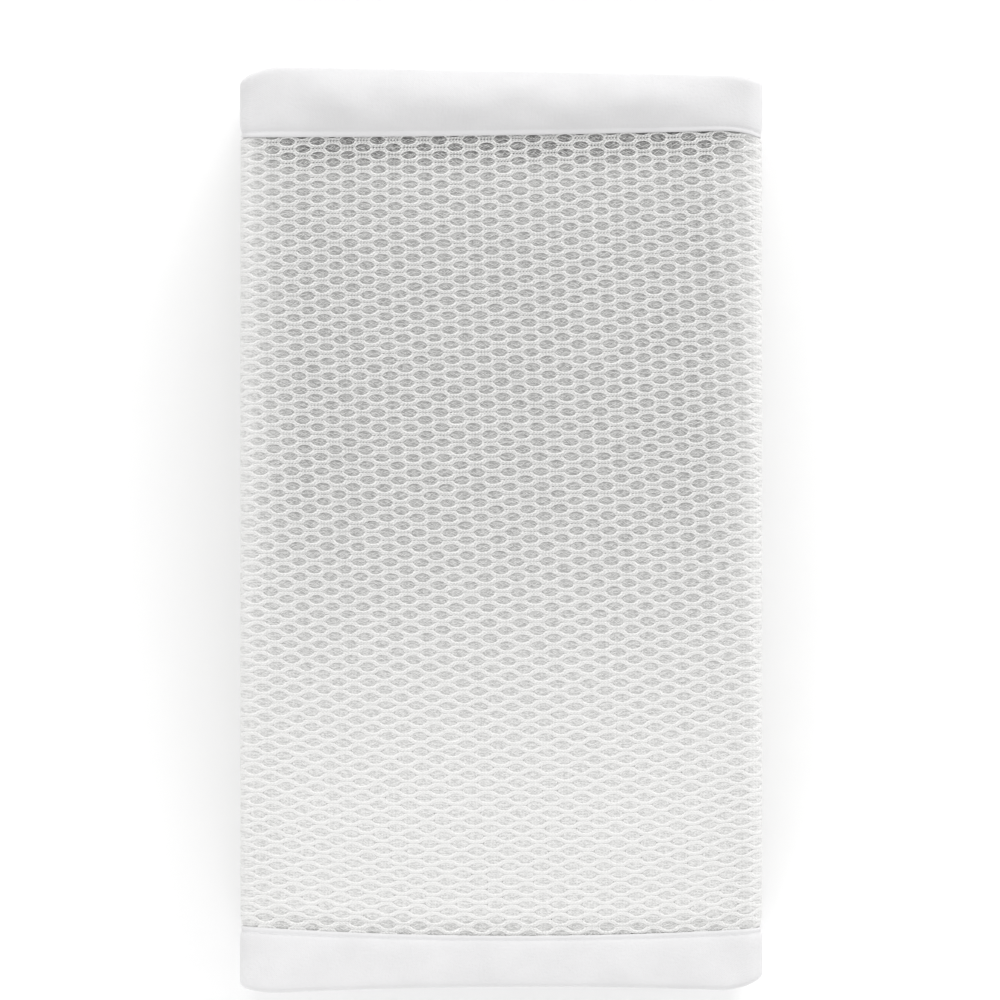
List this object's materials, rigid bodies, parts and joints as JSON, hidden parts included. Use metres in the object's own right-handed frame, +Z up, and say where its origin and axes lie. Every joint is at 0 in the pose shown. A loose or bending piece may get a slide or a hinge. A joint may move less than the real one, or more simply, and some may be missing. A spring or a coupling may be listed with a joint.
{
  "type": "crib bumper",
  "caption": "Long white mesh crib bumper panel with a smooth cloth binding along each long edge, folded back and forth into a flat packet lying on its back.",
  "frame": {"origin": "middle of the packet's footprint, on the surface it lies on", "axes": "+X along the panel's passes, +Y across the panel towards the upper binding, +Z up through the folded levels"},
  "size_m": [0.16, 0.2824, 0.0762],
  "materials": {
    "mesh": "matte knitted spacer mesh, white, with a fine-knit back",
    "binding": "smooth brushed knit, white, soft sheen"
  },
  "bodies": {
    "root": {"mesh_panel": "mesh", "binding_top": "binding", "binding_bottom": "binding"}
  },
  "joints": []
}
